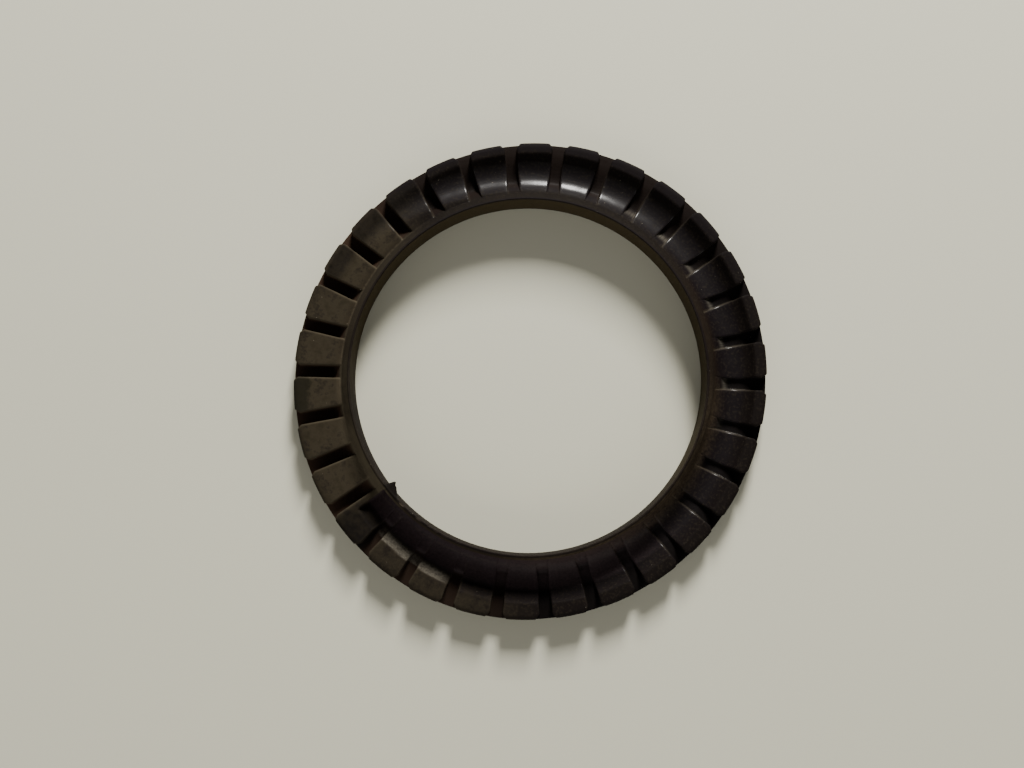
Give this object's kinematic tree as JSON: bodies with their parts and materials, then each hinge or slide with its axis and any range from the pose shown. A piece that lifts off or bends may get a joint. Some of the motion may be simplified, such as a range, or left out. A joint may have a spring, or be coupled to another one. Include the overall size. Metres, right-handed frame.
{
  "type": "coil spring rubber mount",
  "caption": "Moulded rubber ring that seats a coil spring: slotted face, helical wire seat with a stop, raised bore collar.",
  "frame": {"origin": "centre of the ring on its flat back face", "axes": "+Z along the ring's axis from the flat back towards the spring seat; +X is where the slots start; angles run counter-clockwise from +X seen from above, with the wire's stop at 219.5 degrees"},
  "size_m": [0.151, 0.151, 0.014],
  "materials": {
    "black_rubber": "matte, dusty, worn glossy in the wire seat"
  },
  "bodies": {
    "root": {"spring_mount": "black_rubber"}
  },
  "joints": []
}
